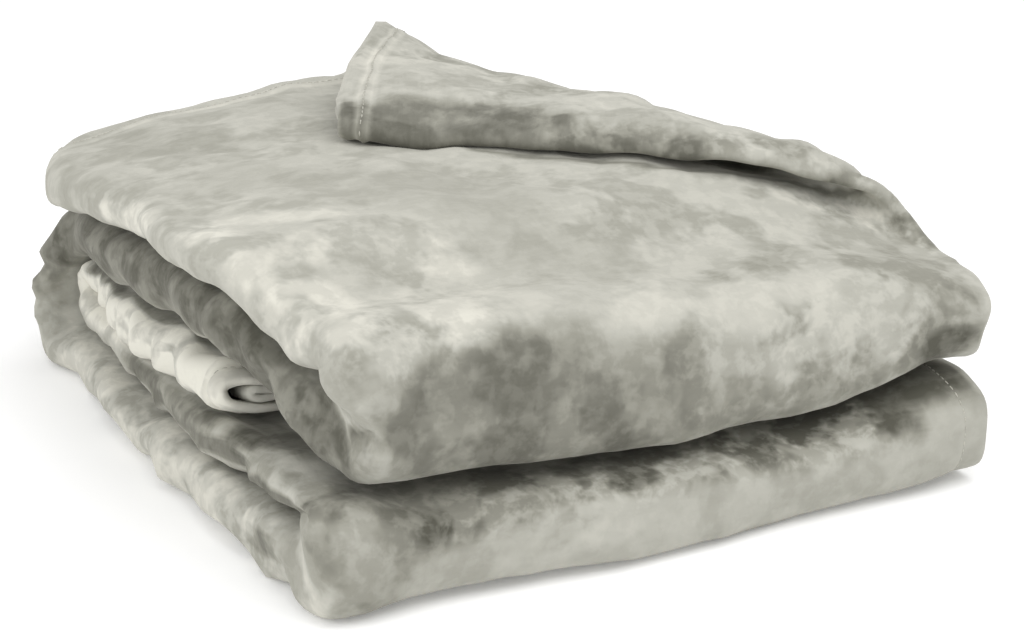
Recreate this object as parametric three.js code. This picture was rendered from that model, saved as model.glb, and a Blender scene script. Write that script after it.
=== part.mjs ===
// A plush fleece blanket, folded. It is one hemmed panel of cloth, about 1.5 m by 2 m. The panel is
// folded in four across its width, which makes a long strip, and the strip is folded back and forth
// into five layers, with its far end tucked in between them. The back right corner of the top layer
// is turned back over itself. Millimetres, X to the right along the front folds, Y to the back, Z up.
// The origin is the middle of its footprint, on the surface that it rests on.
import * as THREE from "three";

// Driving dimensions. Places in plan are measured from the front left corner of the folded stack.
const CLOTH = 3;                   // thickness of the fleece, with the pile of both faces
const WIDTH = 380;                 // folded width, along X
const DEPTH = 410;                 // folded depth, along Y
const OVERHANG = 0.05;             // thickness is followed this far past those, as a fraction of them
const SIDE_REACH = 16.5;           // how far the outer fold on the left bulges past the flat plies
const TIGHT_REACH = 3.6;           // the same for the inner fold there and the fold on the right
const HEM_SETBACK = 8;             // the hems on the right lie this far inside the fold above them
const SAG = 2.1;                   // a facet's edge lies no further than this from the true surface
const SAMPLES = [0.25, 0.5, 0.75];  // where along a facet's edge that is measured
const ROUNDS = 5;                  // the most times that an edge is halved to reach that

// Thickness of each layer of four plies, from the floor up, at six places in plan, and the extra
// height in the middle, where the folds hold the plies apart
const LAYERS = [
  { frontLeft: 38.0, frontRight: 25.5, middleLeft: 27.0, middleRight: 25.0, backLeft: 25.0, backRight: 24.0, crown: 0 },
  { frontLeft: 23.0, frontRight: 28.0, middleLeft: 28.0, middleRight: 25.0, backLeft: 22.0, backRight: 24.0, crown: 1 },
  { frontLeft: 20.0, frontRight: 22.5, middleLeft: 29.0, middleRight: 24.0, backLeft: 9.0, backRight: 23.0, crown: 1 },
  { frontLeft: 44.0, frontRight: 24.0, middleLeft: 38.0, middleRight: 28.0, backLeft: 41.0, backRight: 25.5, crown: 2 },
  { frontLeft: 34.0, frontRight: 27.0, middleLeft: 27.0, middleRight: 28.5, backLeft: 38.0, backRight: 27.0, crown: 10 },
];
const DOME = { least: 0.35, start: 0.12, stretch: 0.5 };  // the crown's shape from front to back
const THINNEST = 2;                // what is left of the tucked layer past its end
const END_BOW = 26;                // how far the free end at the top bows out in its middle
const TUCKED_LAYER = 2;            // the layer that stops short of the front
const TUCKED_END = 103;            // depth at which it ends
// Over this depth the layers above come down past its end, at the left and at the right
const LAP = { fromLeft: 30, toLeft: 105, fromRight: 46, toRight: 125 };
// The upper front fold stands this much further out at its left end
const NOSE_FORWARD = { by: 9, power: 1.5 };

// The way of the strip, from its free end at the top back to its tucked end. A flat leg runs from
// one depth to another. A turn goes round a level at one depth and reaches out from there: forwards
// where reach is negative. Level counts layers from the floor, and sign says which way up the strip
// is there. Square is how boxy the first and the last half of a turn are: 2 is round. Forward is
// the share of NOSE_FORWARD that the leg starts and ends with.
const LEGS = [
  { name: "top back", from: 392, to: 135, level: 4, sign: 1, steps: 8, forward: [0, 0] },
  { name: "top front", from: 135, to: 30, level: 4, sign: 1, steps: 4, forward: [0, 1] },
  { name: "upper nose", turn: 30, reach: -45, level: 4, sign: 1, inner: 0, square: [2.5, 4.6], steps: 5, forward: [1, 1] },
  { name: "second front", from: 30, to: 135, level: 4, sign: -1, steps: 4, forward: [1, 0] },
  { name: "second back", from: 135, to: 368, level: 4, sign: -1, steps: 3, forward: [0, 0] },
  { name: "back nose", turn: 368, reach: 23.5, level: 2, sign: 1, inner: 2, square: [2.4, 3.0], steps: 5, forward: [0, 0] },
  { name: "bottom", from: 368, to: 24, level: 0, sign: 1, steps: 3, forward: [0, 0] },
  { name: "lower nose", turn: 24, reach: -52, level: 1, sign: -1, inner: 1, square: [4.2, 2.6], steps: 5, forward: [0, 0] },
  { name: "fourth", from: 24, to: 368, level: 2, sign: -1, steps: 3, forward: [0, 0] },
  { name: "inner nose", turn: 368, reach: 23.5, level: 2, sign: -1, inner: 0, square: [2.4, 2.4], steps: 3, forward: [0, 0] },
  { name: "tucked", from: 368, to: TUCKED_END, level: 2, sign: 1, steps: 3, forward: [0, 0] },
];

// Where the strip's left and right sides lie, leg by leg. At is the fraction of the leg.
const EDGES = [
  { leg: "top back", at: 0.00, left: 16, right: 404 },
  { leg: "top back", at: 0.08, left: -6, right: 404 },
  { leg: "top back", at: 0.25, left: -19, right: 404 },
  { leg: "top back", at: 0.70, left: -14, right: 402 },
  { leg: "top back", at: 1.00, left: -17, right: 398 },
  { leg: "top front", at: 0.25, left: -17, right: 394 },
  { leg: "top front", at: 0.45, left: -10, right: 391 },
  { leg: "top front", at: 0.65, left: -1, right: 388 },
  { leg: "top front", at: 0.90, left: 4, right: 384 },
  { leg: "upper nose", at: 0.00, left: 6, right: 380 },
  { leg: "upper nose", at: 0.30, left: 6, right: 374 },
  { leg: "upper nose", at: 0.70, left: 12, right: 369 },
  { leg: "second front", at: 0.00, left: 11, right: 372 },
  { leg: "second front", at: 0.50, left: 1, right: 375 },
  { leg: "second back", at: 0.10, left: -8, right: 380 },
  { leg: "second back", at: 0.75, left: -5, right: 384 },
  { leg: "back nose", at: 0.00, left: 7, right: 382 },
  { leg: "back nose", at: 0.30, left: 1, right: 380 },
  { leg: "back nose", at: 0.50, left: -4, right: 380 },
  { leg: "bottom", at: 0.10, left: -6, right: 376 },
  { leg: "bottom", at: 0.50, left: -14, right: 374 },
  { leg: "bottom", at: 1.00, left: -12, right: 374 },
  { leg: "lower nose", at: 0.50, left: -8, right: 377 },
  { leg: "fourth", at: 0.00, left: -7, right: 374 },
  { leg: "fourth", at: 0.40, left: -8, right: 374 },
  { leg: "fourth", at: 0.85, left: 8, right: 374 },
  { leg: "inner nose", at: 0.50, left: 6, right: 370 },
  { leg: "tucked", at: 0.10, left: 2, right: 370 },
  { leg: "tucked", at: 0.35, left: -6, right: 370 },
  { leg: "tucked", at: 0.60, left: -9, right: 370 },
  { leg: "tucked", at: 1.00, left: -6, right: 370 },
];

// The way of the cloth across the strip, from one hem to the other. Height is a fraction of the
// layer, as it lies in the top layer. A side turn goes round the height between its two plies.
const PLIES = [
  { name: "lowest ply", run: "leftwards", height: 1 / 8, hem: true, steps: 3 },
  { name: "outer side", run: "left turn", centre: 1 / 2, radius: 3 / 8, steps: 5 },
  { name: "top ply", run: "rightwards", height: 7 / 8, steps: 8 },
  { name: "right side", run: "right turn", centre: 3 / 4, radius: 1 / 8, steps: 3 },
  { name: "second ply", run: "leftwards", height: 5 / 8, steps: 8 },
  { name: "inner side", run: "left turn", centre: 1 / 2, radius: -1 / 8, steps: 3 },
  { name: "third ply", run: "rightwards", height: 3 / 8, hem: true, steps: 3 },
];
const TOP_PLY = 2;                 // the ply that faces up in the top layer
const SIDE_SQUARE = 2.7;           // how boxy the folds on the left side are
const PAIR_FLOOR = 0.5;            // the upper pair of plies starts at this fraction of the layer

// The corner of the upper pair that is turned back over a ridge. Along runs down the ridge from
// its foot, and outer is the radius of the roll there.
const RIDGE = { x: 236, y: 324, angle: -63.5 };
const RIDGE_ROLL = [
  { along: -110, outer: 29.5 },
  { along: -50, outer: 26.5 },
  { along: 0, outer: 22.0 },
  { along: 60, outer: 19.5 },
  { along: 120, outer: 19.5 },
  { along: 200, outer: 18.0 },
  { along: 260, outer: 16.5 },
  { along: 330, outer: 14.0 },
];
const RIDGE_BEND = { by: 13, from: 220, to: 335 };  // its right end bends away to the right
const PINCH = { by: 0.35, from: 120, to: 300, width: 60, front: 36, back: 110 };  // thinner pair there

// Where the folds have sagged or been pushed: the place, how far it reaches and the move there
const PRESSES = [
  { place: [115, 5, 62], reach: [120, 90, 50], move: [0, -2, -9] },
  { place: [240, 2, 64], reach: [104, 90, 46], move: [0, 0, -8] },
  { place: [130, -30, 8], reach: [120, 40, 24], move: [0, -5, 0] },
  { place: [366, -8, 62], reach: [46, 70, 40], move: [0, 0, 4] },
  { place: [206, 390, 168], reach: [90, 60, 50], move: [8, -3, 3] },
];
const CLEARANCE = 2;               // between the flap and the cloth under it
const DROOP = { power: 3.6, over: 70 };  // the flap comes down late, near its free edge

const clamp = (value, low, high) => Math.min(high, Math.max(low, value));
const mix = (a, b, f) => a + (b - a) * f;

function ease(from, to, value) {
  const f = clamp((value - from) / (to - from), 0, 1);
  return f * f * (3 - 2 * f);
}

// Thickness of one layer at a place in plan
function layerThickness(index, x, y) {
  const layer = LAYERS[index];
  const u = clamp(x / WIDTH, -OVERHANG, 1 + OVERHANG);
  const v = clamp(y / DEPTH, -OVERHANG, 1 + OVERHANG);
  const front = mix(layer.frontLeft, layer.frontRight, u);
  const middle = mix(layer.middleLeft, layer.middleRight, u);
  const back = mix(layer.backLeft, layer.backRight, u);
  const even = front * (1 - v) * (1 - 2 * v) + middle * 4 * v * (1 - v) + back * v * (2 * v - 1);
  const arch = Math.sin(Math.PI * (DOME.start + DOME.stretch * v));
  const dome = (1 - (2 * u - 1) ** 2) * mix(DOME.least, 1, arch);
  const thickness = even + layer.crown * dome;
  if (index !== TUCKED_LAYER) return thickness;
  const lap = ease(mix(LAP.fromLeft, LAP.fromRight, u), mix(LAP.toLeft, LAP.toRight, u), y);
  return mix(THINNEST, thickness, lap);
}

// Height of a level above the floor. The lowest ply, an eighth of a layer up, lies flat on it.
function heightOf(level, x, y) {
  const lowest = PLIES[0].height;
  const bottom = layerThickness(0, x, y);
  if (level <= 1) return CLOTH / 2 + ((level - lowest) / (1 - lowest)) * (bottom - CLOTH / 2);
  let z = bottom;
  for (let k = 1; k < LAYERS.length && level > k; k += 1) {
    z += layerThickness(k, x, y) * (k === LAYERS.length - 1 ? level - k : Math.min(level - k, 1));
  }
  return z;
}

// A point on a round or boxy half turn: out is how far it reaches, along runs from 1 to -1
function halfTurn(f, [first, last]) {
  const along = Math.cos(Math.PI * f);
  const out = Math.sin(Math.PI * f);
  const n = f < 0.5 ? first : last;
  const k = (Math.abs(along) ** n + Math.abs(out) ** n) ** (-1 / n);
  return { along: along * k, out: out * k };
}

// Depth and level of a height in the strip, at a fraction of a leg
function placeOnLeg(leg, f, x, height) {
  const forward = NOSE_FORWARD.by * (1 - clamp(x / WIDTH, 0, 1)) ** NOSE_FORWARD.power * mix(leg.forward[0], leg.forward[1], f);
  if (leg.turn === undefined) {
    const bow = leg === LEGS[0] ? END_BOW * Math.sin(Math.PI * clamp(x / WIDTH, 0, 1)) * (1 - f) : 0;
    return { y: mix(leg.from, leg.to, f) + bow - forward, level: leg.level + leg.sign * height };
  }
  const radius = Math.abs(leg.inner - height);
  const { along, out } = halfTurn(f, leg.square);
  return { y: leg.turn + leg.reach * radius * out - forward, level: leg.level + leg.sign * radius * along };
}

// A smooth curve through one column of a table, with no overshoot between its rows
function curveThrough(rows, places, column, place) {
  const rise = (k) => (rows[k + 1][column] - rows[k][column]) / (places[k + 1] - places[k]);
  const slope = (k) => {
    if (k === 0) return rise(0);
    if (k === rows.length - 1) return rise(k - 1);
    const [before, after] = [rise(k - 1), rise(k)];
    return before * after > 0 ? (2 * before * after) / (before + after) : 0;
  };
  const next = places.findIndex((each) => each > place);
  const i = next === -1 ? rows.length - 2 : Math.max(next - 1, 0);
  const span = places[i + 1] - places[i];
  const f = clamp((place - places[i]) / span, 0, 1);
  return (
    (1 + 2 * f) * (1 - f) ** 2 * rows[i][column] +
    f * (1 - f) ** 2 * span * slope(i) +
    f * f * (3 - 2 * f) * rows[i + 1][column] +
    f * f * (f - 1) * span * slope(i + 1)
  );
}

const EDGE_PLACES = EDGES.map((edge) => LEGS.findIndex((leg) => leg.name === edge.leg) + edge.at);
const RIDGE_PLACES = RIDGE_ROLL.map((row) => row.along);

// Place across the strip and height in it, at a fraction of a ply
function placeOnPly(ply, f, left, right) {
  const leftTurn = left + SIDE_REACH;
  const rightTurn = right - TIGHT_REACH;
  const rightEnd = ply.hem ? right - HEM_SETBACK : rightTurn;
  if (ply.run === "leftwards") return { x: mix(rightEnd, leftTurn, f), height: ply.height };
  if (ply.run === "rightwards") return { x: mix(leftTurn, rightEnd, f), height: ply.height };
  if (ply.run === "right turn") {
    const { along, out } = halfTurn(f, [2, 2]);
    return { x: rightTurn + TIGHT_REACH * out, height: ply.centre + ply.radius * along };
  }
  const { along, out } = halfTurn(f, [SIDE_SQUARE, SIDE_SQUARE]);
  const reach = ply.radius > 0 ? SIDE_REACH : TIGHT_REACH;
  return { x: leftTurn - reach * out, height: ply.centre - ply.radius * along };
}

// Where a place in plan lies from the ridge: along it and past it
const RIDGE_WAY = {
  x: Math.cos(THREE.MathUtils.degToRad(RIDGE.angle)),
  y: Math.sin(THREE.MathUtils.degToRad(RIDGE.angle)),
};

function fromRidge(x, y) {
  const along = (x - RIDGE.x) * RIDGE_WAY.x + (y - RIDGE.y) * RIDGE_WAY.y;
  const across = -(x - RIDGE.x) * RIDGE_WAY.y + (y - RIDGE.y) * RIDGE_WAY.x;
  return { along, past: across - RIDGE_BEND.by * ease(RIDGE_BEND.from, RIDGE_BEND.to, along) };
}

// Thickness of the upper pair of plies, which is less near the right end of the ridge
function pairThickness(x, y) {
  const { along, past } = fromRidge(x, y);
  const near = ease(PINCH.from, PINCH.to, along) * ease(-PINCH.width, 0, past);
  const pinch = PINCH.by * near * ease(PINCH.front, PINCH.back, y);
  return layerThickness(LAYERS.length - 1, x, y) * (1 - PAIR_FLOOR) * (1 - pinch);
}

// Rolls a point of the upper pair over the ridge, where it lies past it
function turnBack(point, level, rightEdge) {
  const { along, past } = fromRidge(point.x, point.y);
  const floor = LAYERS.length - 1 + PAIR_FLOOR;
  const pair = pairThickness(point.x, point.y);
  const above = ((level - floor) / (1 - PAIR_FLOOR)) * pair;
  if (past <= 0) return { x: point.x, y: point.y, z: heightOf(floor, point.x, point.y) + above };
  const outer = curveThrough(RIDGE_ROLL, RIDGE_PLACES, "outer", along);
  const middle = outer - pair / 2;
  const radius = outer - above;
  const angle = Math.min(past / middle, Math.PI);
  const flat = Math.max(past - Math.PI * middle, 0);
  const shift = radius * Math.sin(angle) - flat - past;
  const x = point.x - RIDGE_WAY.y * shift;
  const y = point.y + RIDGE_WAY.x * shift;
  const toEdge = Math.max(rightEdge - point.x, 0);
  const reached = flat > 0 ? flat / (flat + toEdge) : 0;
  const plies = ((PLIES[TOP_PLY].height - PAIR_FLOOR) / (1 - PAIR_FLOOR)) * (pair + pairThickness(x, y));
  const gap = Math.max(2 * outer - plies - CLOTH - CLEARANCE, 0);
  const drop = gap * reached ** DROOP.power * ease(0, DROOP.over, flat);
  const lift = outer - radius * Math.cos(angle) - drop;
  return { x, y, z: heightOf(floor, x, y) + lift };
}

// Moves a point as its neighbours in the other plies are moved, so that no ply passes through another
function press(point) {
  for (const { place, reach, move } of PRESSES) {
    const away = point.toArray().map((value, k) => (value - place[k]) / reach[k]);
    const share = Math.max(1 - away.reduce((sum, part) => sum + part * part, 0), 0) ** 2;
    point.addScaledVector(new THREE.Vector3(...move), share);
  }
  return point;
}

// A point of the cloth's middle surface. Across counts plies and along counts legs.
function clothPoint(across, along) {
  const plyIndex = clamp(Math.floor(across), 0, PLIES.length - 1);
  const legIndex = clamp(Math.floor(along), 0, LEGS.length - 1);
  const left = curveThrough(EDGES, EDGE_PLACES, "left", along);
  const right = curveThrough(EDGES, EDGE_PLACES, "right", along);
  const { x, height } = placeOnPly(PLIES[plyIndex], across - plyIndex, left, right);
  const { y, level } = placeOnLeg(LEGS[legIndex], along - legIndex, x, height);
  const point = { x, y, z: heightOf(level, x, y) };
  const inUpperPair = legIndex <= 1 && height > PAIR_FLOOR;
  const { x: px, y: py, z: pz } = inUpperPair ? turnBack(point, level, right) : point;
  return press(new THREE.Vector3(px, py, pz));
}

// The cloth's two faces at that point, half a thickness to either side
function clothFaces(across, along) {
  const step = 1e-4;
  const within = (value, count) => clamp(value, step, count - step);
  const a = within(across, PLIES.length);
  const b = within(along, LEGS.length);
  const sideways = clothPoint(a + step, b).sub(clothPoint(a - step, b));
  const lengthways = clothPoint(a, b + step).sub(clothPoint(a, b - step));
  const normal = sideways.cross(lengthways).normalize().multiplyScalar(CLOTH / 2);
  const middle = clothPoint(across, along);
  return { middle, over: middle.clone().add(normal), under: middle.clone().sub(normal) };
}

// Rows of even steps through each leg or ply
function stepsThrough(parts) {
  const values = [];
  parts.forEach((part, index) => {
    for (let k = 0; k < part.steps; k += 1) values.push(index + k / part.steps);
  });
  return [...values, parts.length];
}

// A flat panel of triangles, whose edges are halved where the folded cloth bends away from them
class Panel {
  constructor() {
    this.points = [];
    this.triangles = [];
    this.columns = stepsThrough(PLIES);
    this.rows = stepsThrough(LEGS);
    for (const along of this.rows) {
      for (const across of this.columns) this.addPoint(across, along);
    }
    const count = this.columns.length;
    for (let row = 0; row + 1 < this.rows.length; row += 1) {
      for (let column = 0; column + 1 < count; column += 1) {
        const corner = row * count + column;
        this.triangles.push([corner, corner + 1, corner + count + 1], [corner, corner + count + 1, corner + count]);
      }
    }
  }

  addPoint(across, along) {
    this.points.push({ across, along, ...clothFaces(across, along) });
    return this.points.length - 1;
  }

  // The number of the new point in the middle of an edge, or undefined where the edge is true enough
  halve(a, b, halves) {
    const key = a < b ? `${a} ${b}` : `${b} ${a}`;
    if (!halves.has(key)) {
      const [p, q] = [this.points[a], this.points[b]];
      const [across, along] = [(p.across + q.across) / 2, (p.along + q.along) / 2];
      halves.set(key, this.isBent(p, q) ? this.addPoint(across, along) : undefined);
    }
    return halves.get(key);
  }

  // Whether the true surface leaves the straight edge from p to q
  isBent(p, q) {
    const edge = new THREE.Line3(p.middle, q.middle);
    return SAMPLES.some((f) => {
      const actual = clothPoint(mix(p.across, q.across, f), mix(p.along, q.along, f));
      return edge.closestPointToPoint(actual, true, new THREE.Vector3()).distanceTo(actual) > SAG;
    });
  }

  refine() {
    const halves = new Map();
    const before = this.triangles;
    this.triangles = [];
    for (const corners of before) {
      const mids = corners.map((corner, k) => this.halve(corner, corners[(k + 1) % 3], halves));
      this.split(corners, mids);
    }
    return this.triangles.length > before.length;
  }

  split(corners, mids) {
    const halved = mids.filter((mid) => mid !== undefined).length;
    let turn = 0;
    if (halved === 1) turn = mids.findIndex((mid) => mid !== undefined);
    if (halved === 2) turn = (mids.findIndex((mid) => mid === undefined) + 1) % 3;
    const [a, b, c] = [0, 1, 2].map((k) => corners[(k + turn) % 3]);
    const [ab, bc, ca] = [0, 1, 2].map((k) => mids[(k + turn) % 3]);
    if (halved === 0) this.triangles.push([a, b, c]);
    if (halved === 1) this.triangles.push([a, ab, c], [ab, b, c]);
    if (halved === 2) this.triangles.push([ab, b, bc], [a, ab, bc], [a, bc, c]);
    if (halved === 3) this.triangles.push([a, ab, ca], [ab, b, bc], [ca, bc, c], [ab, bc, ca]);
  }

  // The closed sheet: both faces, and a rim along every edge that only one triangle has
  toGeometry() {
    const corners = this.points.flatMap(({ over, under }) => [...over.toArray(), ...under.toArray()]);
    const faces = [];
    const open = new Map();
    for (const [a, b, c] of this.triangles) {
      faces.push(2 * a, 2 * b, 2 * c, 2 * a + 1, 2 * c + 1, 2 * b + 1);
      for (const [p, q] of [[a, b], [b, c], [c, a]]) {
        if (!open.delete(`${q} ${p}`)) open.set(`${p} ${q}`, [p, q]);
      }
    }
    for (const [p, q] of open.values()) {
      faces.push(2 * p, 2 * p + 1, 2 * q, 2 * q, 2 * p + 1, 2 * q + 1);
    }
    const geometry = new THREE.BufferGeometry();
    geometry.setAttribute("position", new THREE.Float32BufferAttribute(corners, 3));
    geometry.setIndex(faces);
    geometry.computeVertexNormals();
    return geometry;
  }
}

function makeBlanket() {
  const panel = new Panel();
  for (let round = 0; round < ROUNDS; round += 1) {
    if (!panel.refine()) break;
  }
  const geometry = panel.toGeometry();
  geometry.computeBoundingBox();
  const centre = geometry.boundingBox.getCenter(new THREE.Vector3());
  geometry.translate(-centre.x, -centre.y, 0);
  const fleece = new THREE.MeshStandardMaterial({ color: 0xbfbeb4, roughness: 0.95, metalness: 0 });
  const blanket = new THREE.Mesh(geometry, fleece);
  blanket.name = "blanket";
  return blanket;
}

const object = new THREE.Group();
object.add(makeBlanket());

export default object;
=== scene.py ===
import math
import bmesh
import bpy
import numpy as np
from mathutils import Matrix, Vector, noise
from mathutils.bvhtree import BVHTree
from mathutils.interpolate import poly_3d_calc


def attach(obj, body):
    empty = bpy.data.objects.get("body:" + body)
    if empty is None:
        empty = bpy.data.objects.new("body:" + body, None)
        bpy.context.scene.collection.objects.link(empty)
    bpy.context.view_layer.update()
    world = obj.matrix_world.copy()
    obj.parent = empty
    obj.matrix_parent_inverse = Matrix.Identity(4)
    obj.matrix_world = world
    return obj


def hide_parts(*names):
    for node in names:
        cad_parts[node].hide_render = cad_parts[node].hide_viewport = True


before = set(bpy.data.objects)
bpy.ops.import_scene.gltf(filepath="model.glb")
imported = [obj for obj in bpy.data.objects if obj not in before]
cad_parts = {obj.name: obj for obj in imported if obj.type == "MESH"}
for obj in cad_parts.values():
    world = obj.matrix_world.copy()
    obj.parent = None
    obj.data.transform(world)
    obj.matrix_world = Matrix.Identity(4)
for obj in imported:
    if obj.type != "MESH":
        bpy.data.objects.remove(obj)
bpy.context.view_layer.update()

# The camera stands in front of the stack, to its left and a little above it, with a long lens, so
# that the near corner of the folds comes towards the eye. Marks on the cloth are given as they are
# seen from here, in pixels of the picture, and land where that line of sight meets the fleece.
PICTURE = (1024, 636)
LENS, SENSOR = 90.0, 36.0
CAMERA_PLACE = Vector((-0.6173, -1.1937, 0.5251))
CAMERA_TURN, CAMERA_TILT = math.radians(27.92), math.radians(19.35)

camera = bpy.data.cameras.new("camera")
camera.sensor_width = SENSOR
camera.lens = LENS
camera.clip_start = 0.01
camera_object = bpy.data.objects.new("camera", camera)
bpy.context.collection.objects.link(camera_object)
bpy.context.scene.camera = camera_object
towards_camera = Vector((
    -math.sin(CAMERA_TURN) * math.cos(CAMERA_TILT),
    -math.cos(CAMERA_TURN) * math.cos(CAMERA_TILT),
    math.sin(CAMERA_TILT),
))
picture_right = Vector((math.cos(CAMERA_TURN), -math.sin(CAMERA_TURN), 0))
picture_up = towards_camera.cross(picture_right)
axes = Matrix((picture_right, picture_up, towards_camera)).transposed().to_4x4()
camera_object.matrix_world = Matrix.Translation(CAMERA_PLACE) @ axes


def line_of_sight(px, py):
    """Direction from the camera through a pixel of the picture."""
    step = SENSOR / LENS / PICTURE[0]
    across = (px - PICTURE[0] / 2) * step
    up = (PICTURE[1] / 2 - py) * step
    return (picture_right * across + picture_up * up - towards_camera).normalized()


# The throw is one panel of plush fleece, 1.5 m by 2 m, turned in and stitched along all four edges.
# It is folded in four across its width, and that strip lies back and forth in five layers, with its
# far end tucked in between them. The back right corner of the top layer is turned back.

# sizes are millimetres from the front left corner of the folded stack
MM = 0.001
MIDDLE = (188.0, 197.2)            # middle of the footprint, where the origin is
CLOTH = 3.2                        # the fleece with the pile of both faces
WIDTH, DEPTH = 380, 410            # folded size
OVERHANG = 0.05                    # share of that size by which a layer may reach past it
SIDE_REACH = 16.5                  # how far the outer fold at the left side bulges
TIGHT_REACH = 3.6                  # and the folds of one ply laid on the next
SIDE_SQUARE, ROUND = 2.7, 2        # how boxy a side fold is, and an even round one
HEM_SETBACK = 8                    # the side hems lie this far in from the fold beside them
HEM, HEM_THICK = 15.0, 5.6         # from the edge to the stitching, and two thicknesses of fleece
STITCH_THIN, STITCH_PULL = 1.2, 3.2    # what the stitching pulls it down to, and how far beside it
HEM_TURNED, HEM_STEP = 21.5, 2     # the raw edge inside the hem ends this far in, and this softly
HEM_LINES = (0.0, 0.35, 0.7, 0.88, 1.0, 1.12, 1.3, 1.48, 1.68)    # grid lines there, in hem widths
ROUNDED, EDGE_THICK = 1, 1.1       # the edge is rounded this far in, to so many cloth thicknesses
SIDE_HEM_SHOWS = 0.4               # how much of the hem's extra thickness shows along the sides
FLOOR_GAP = 0.02                   # what lies on the floor is clear of it by this
SIDE_HEM_HELD = 24.5               # and lies as high as a hem does up to this far in from a side

# layer thickness at six places in plan, from the floor up, and the extra height in the middle
LAYERS = [
    # front left, front right, middle left, middle right, back left, back right, crown
    (38.0, 25.5, 26.0, 25.0, 24.0, 24.0, 0),
    (23.0, 28.0, 25.0, 25.0, 20.0, 24.0, 1),
    (20.0, 22.5, 33.0, 24.0, 12.0, 23.0, 1),
    (44.0, 24.0, 38.0, 28.0, 41.0, 25.5, 2),
    (34.0, 27.0, 27.0, 28.5, 38.0, 27.0, 10),
]
CROWN_FRONT, CROWN_FROM = 0.35, 0.12    # least of the crown, and where its swell starts
TUCKED_LAYER = 2                   # the row of the tucked layer
THINNEST = 2                       # what is left of it in front of its end
TUCKED_END = 103                   # the depth at which the cloth of it ends
LAP_LEFT, LAP_RIGHT = (30, 105), (46, 125)    # depths over which it thickens, at either side
END_CLOSED, CLOSING = 0.35, (0.9, 1)    # how far its rolled end closes, over this part of the leg
END_BOW = 26                       # the hem of the top layer bows this far back in its middle
NOSE_FORWARD, NOSE_POWER = 9, 1.5  # the upper front fold stands this much further out at the left

# the way of the strip: flat legs from one depth to another, and turns round a level, which reach
# so many millimetres per layer and are as boxy before and after their middle as square says
LEGS = {
    "top back": dict(run=(392, 135), level=4, sign=1, steps=58, hem="start"),
    "top front": dict(run=(135, 30), level=4, sign=1, steps=26),
    "upper nose": dict(turn=30, reach=-45, level=4, sign=1, inner=0, square=(2.5, 4.6), steps=36),
    "second front": dict(run=(30, 135), level=4, sign=-1, steps=18),
    "second back": dict(run=(135, 368), level=4, sign=-1, steps=22),
    "back nose": dict(turn=368, reach=23.5, level=2, sign=1, inner=2, square=(2.4, 3.0), steps=18),
    "bottom": dict(run=(368, 24), level=0, sign=1, steps=14),
    "lower nose": dict(turn=24, reach=-52, level=1, sign=-1, inner=1, square=(4.2, 2.6), steps=32),
    "fourth": dict(run=(24, 368), level=2, sign=-1, steps=22),
    "inner nose": dict(turn=368, reach=23.5, level=2, sign=-1, inner=0, square=(2.4, 2.4), steps=6),
    "tucked": dict(run=(368, TUCKED_END), level=2, sign=1, steps=16, hem="end"),
}
# how far over its two sides lie, at fractions of the legs
EDGES = [
    # leg, fraction of it, left side, right side of the strip
    ("top back", 0.00, 16, 404),
    ("top back", 0.08, -6, 404),
    ("top back", 0.25, -19, 404),
    ("top back", 0.70, -14, 402),
    ("top back", 1.00, -17, 398),
    ("top front", 0.25, -17, 394),
    ("top front", 0.45, -10, 391),
    ("top front", 0.65, -1, 388),
    ("top front", 0.90, 4, 384),
    ("upper nose", 0.00, 6, 380),
    ("upper nose", 0.30, 6, 374),
    ("upper nose", 0.70, 12, 369),
    ("second front", 0.00, 11, 372),
    ("second front", 0.50, 1, 375),
    ("second back", 0.10, -8, 380),
    ("second back", 0.75, -5, 384),
    ("back nose", 0.00, 7, 382),
    ("back nose", 0.30, 1, 380),
    ("back nose", 0.50, -4, 380),
    ("bottom", 0.10, -6, 376),
    ("bottom", 0.50, -14, 374),
    ("bottom", 1.00, -12, 374),
    ("lower nose", 0.50, -8, 377),
    ("fourth", 0.00, -7, 374),
    ("fourth", 0.40, -8, 374),
    ("fourth", 0.85, 8, 374),
    ("inner nose", 0.50, 14, 370),
    ("tucked", 0.10, 9, 370),
    ("tucked", 0.35, -4, 370),
    ("tucked", 0.60, -9, 370),
    ("tucked", 1.00, -6, 370),
]
# the way of the cloth across the strip, from one hem to the other, with heights in layers
PLIES = [
    dict(run="leftwards", height=1 / 8, steps=30, hem="start"),
    dict(run="left turn", centre=1 / 2, radius=3 / 8, steps=18),
    dict(run="rightwards", height=7 / 8, steps=54),
    dict(run="right turn", centre=3 / 4, radius=1 / 8, steps=6),
    dict(run="leftwards", height=5 / 8, steps=30),
    dict(run="left turn", centre=1 / 2, radius=-1 / 8, steps=6),
    dict(run="rightwards", height=3 / 8, steps=8, hem="end"),
]
LOWEST_PLY, TOP_PLY = 1 / 8, 7 / 8
PAIR_FLOOR = 0.5                   # where the upper two plies of a layer start

# the ridge that the corner is turned back over, and the radius of its roll along it
RIDGE_X, RIDGE_Y, RIDGE_ANGLE = 236, 324, math.radians(-63.5)
RIDGE_ALONG = np.array([-110, -50, 0, 60, 120, 200, 260, 330.0])
RIDGE_OUTER = np.array([29.5, 26.5, 22, 19.5, 19.5, 18, 16.5, 14.0])
RIDGE_BEND, BEND_ALONG = 13, (220, 335)    # how far it bends to the side, and where along it
PINCH, PINCH_ALONG = 0.35, (120, 300)      # how much thinner the plies get there, from where to where
PINCH_BEFORE = (-60, 0)            # that starts this far before the ridge
PINCH_DEPTH = (36, 110)            # and fades towards the front between these depths
DROOP_POWER, DROOP_OVER = 3.6, 70  # the flap sinks late towards its edge, over this much cloth
FLAP_GAP = 1                       # the least gap under the flap


def mix(a, b, f):
    return a + (b - a) * f


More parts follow.
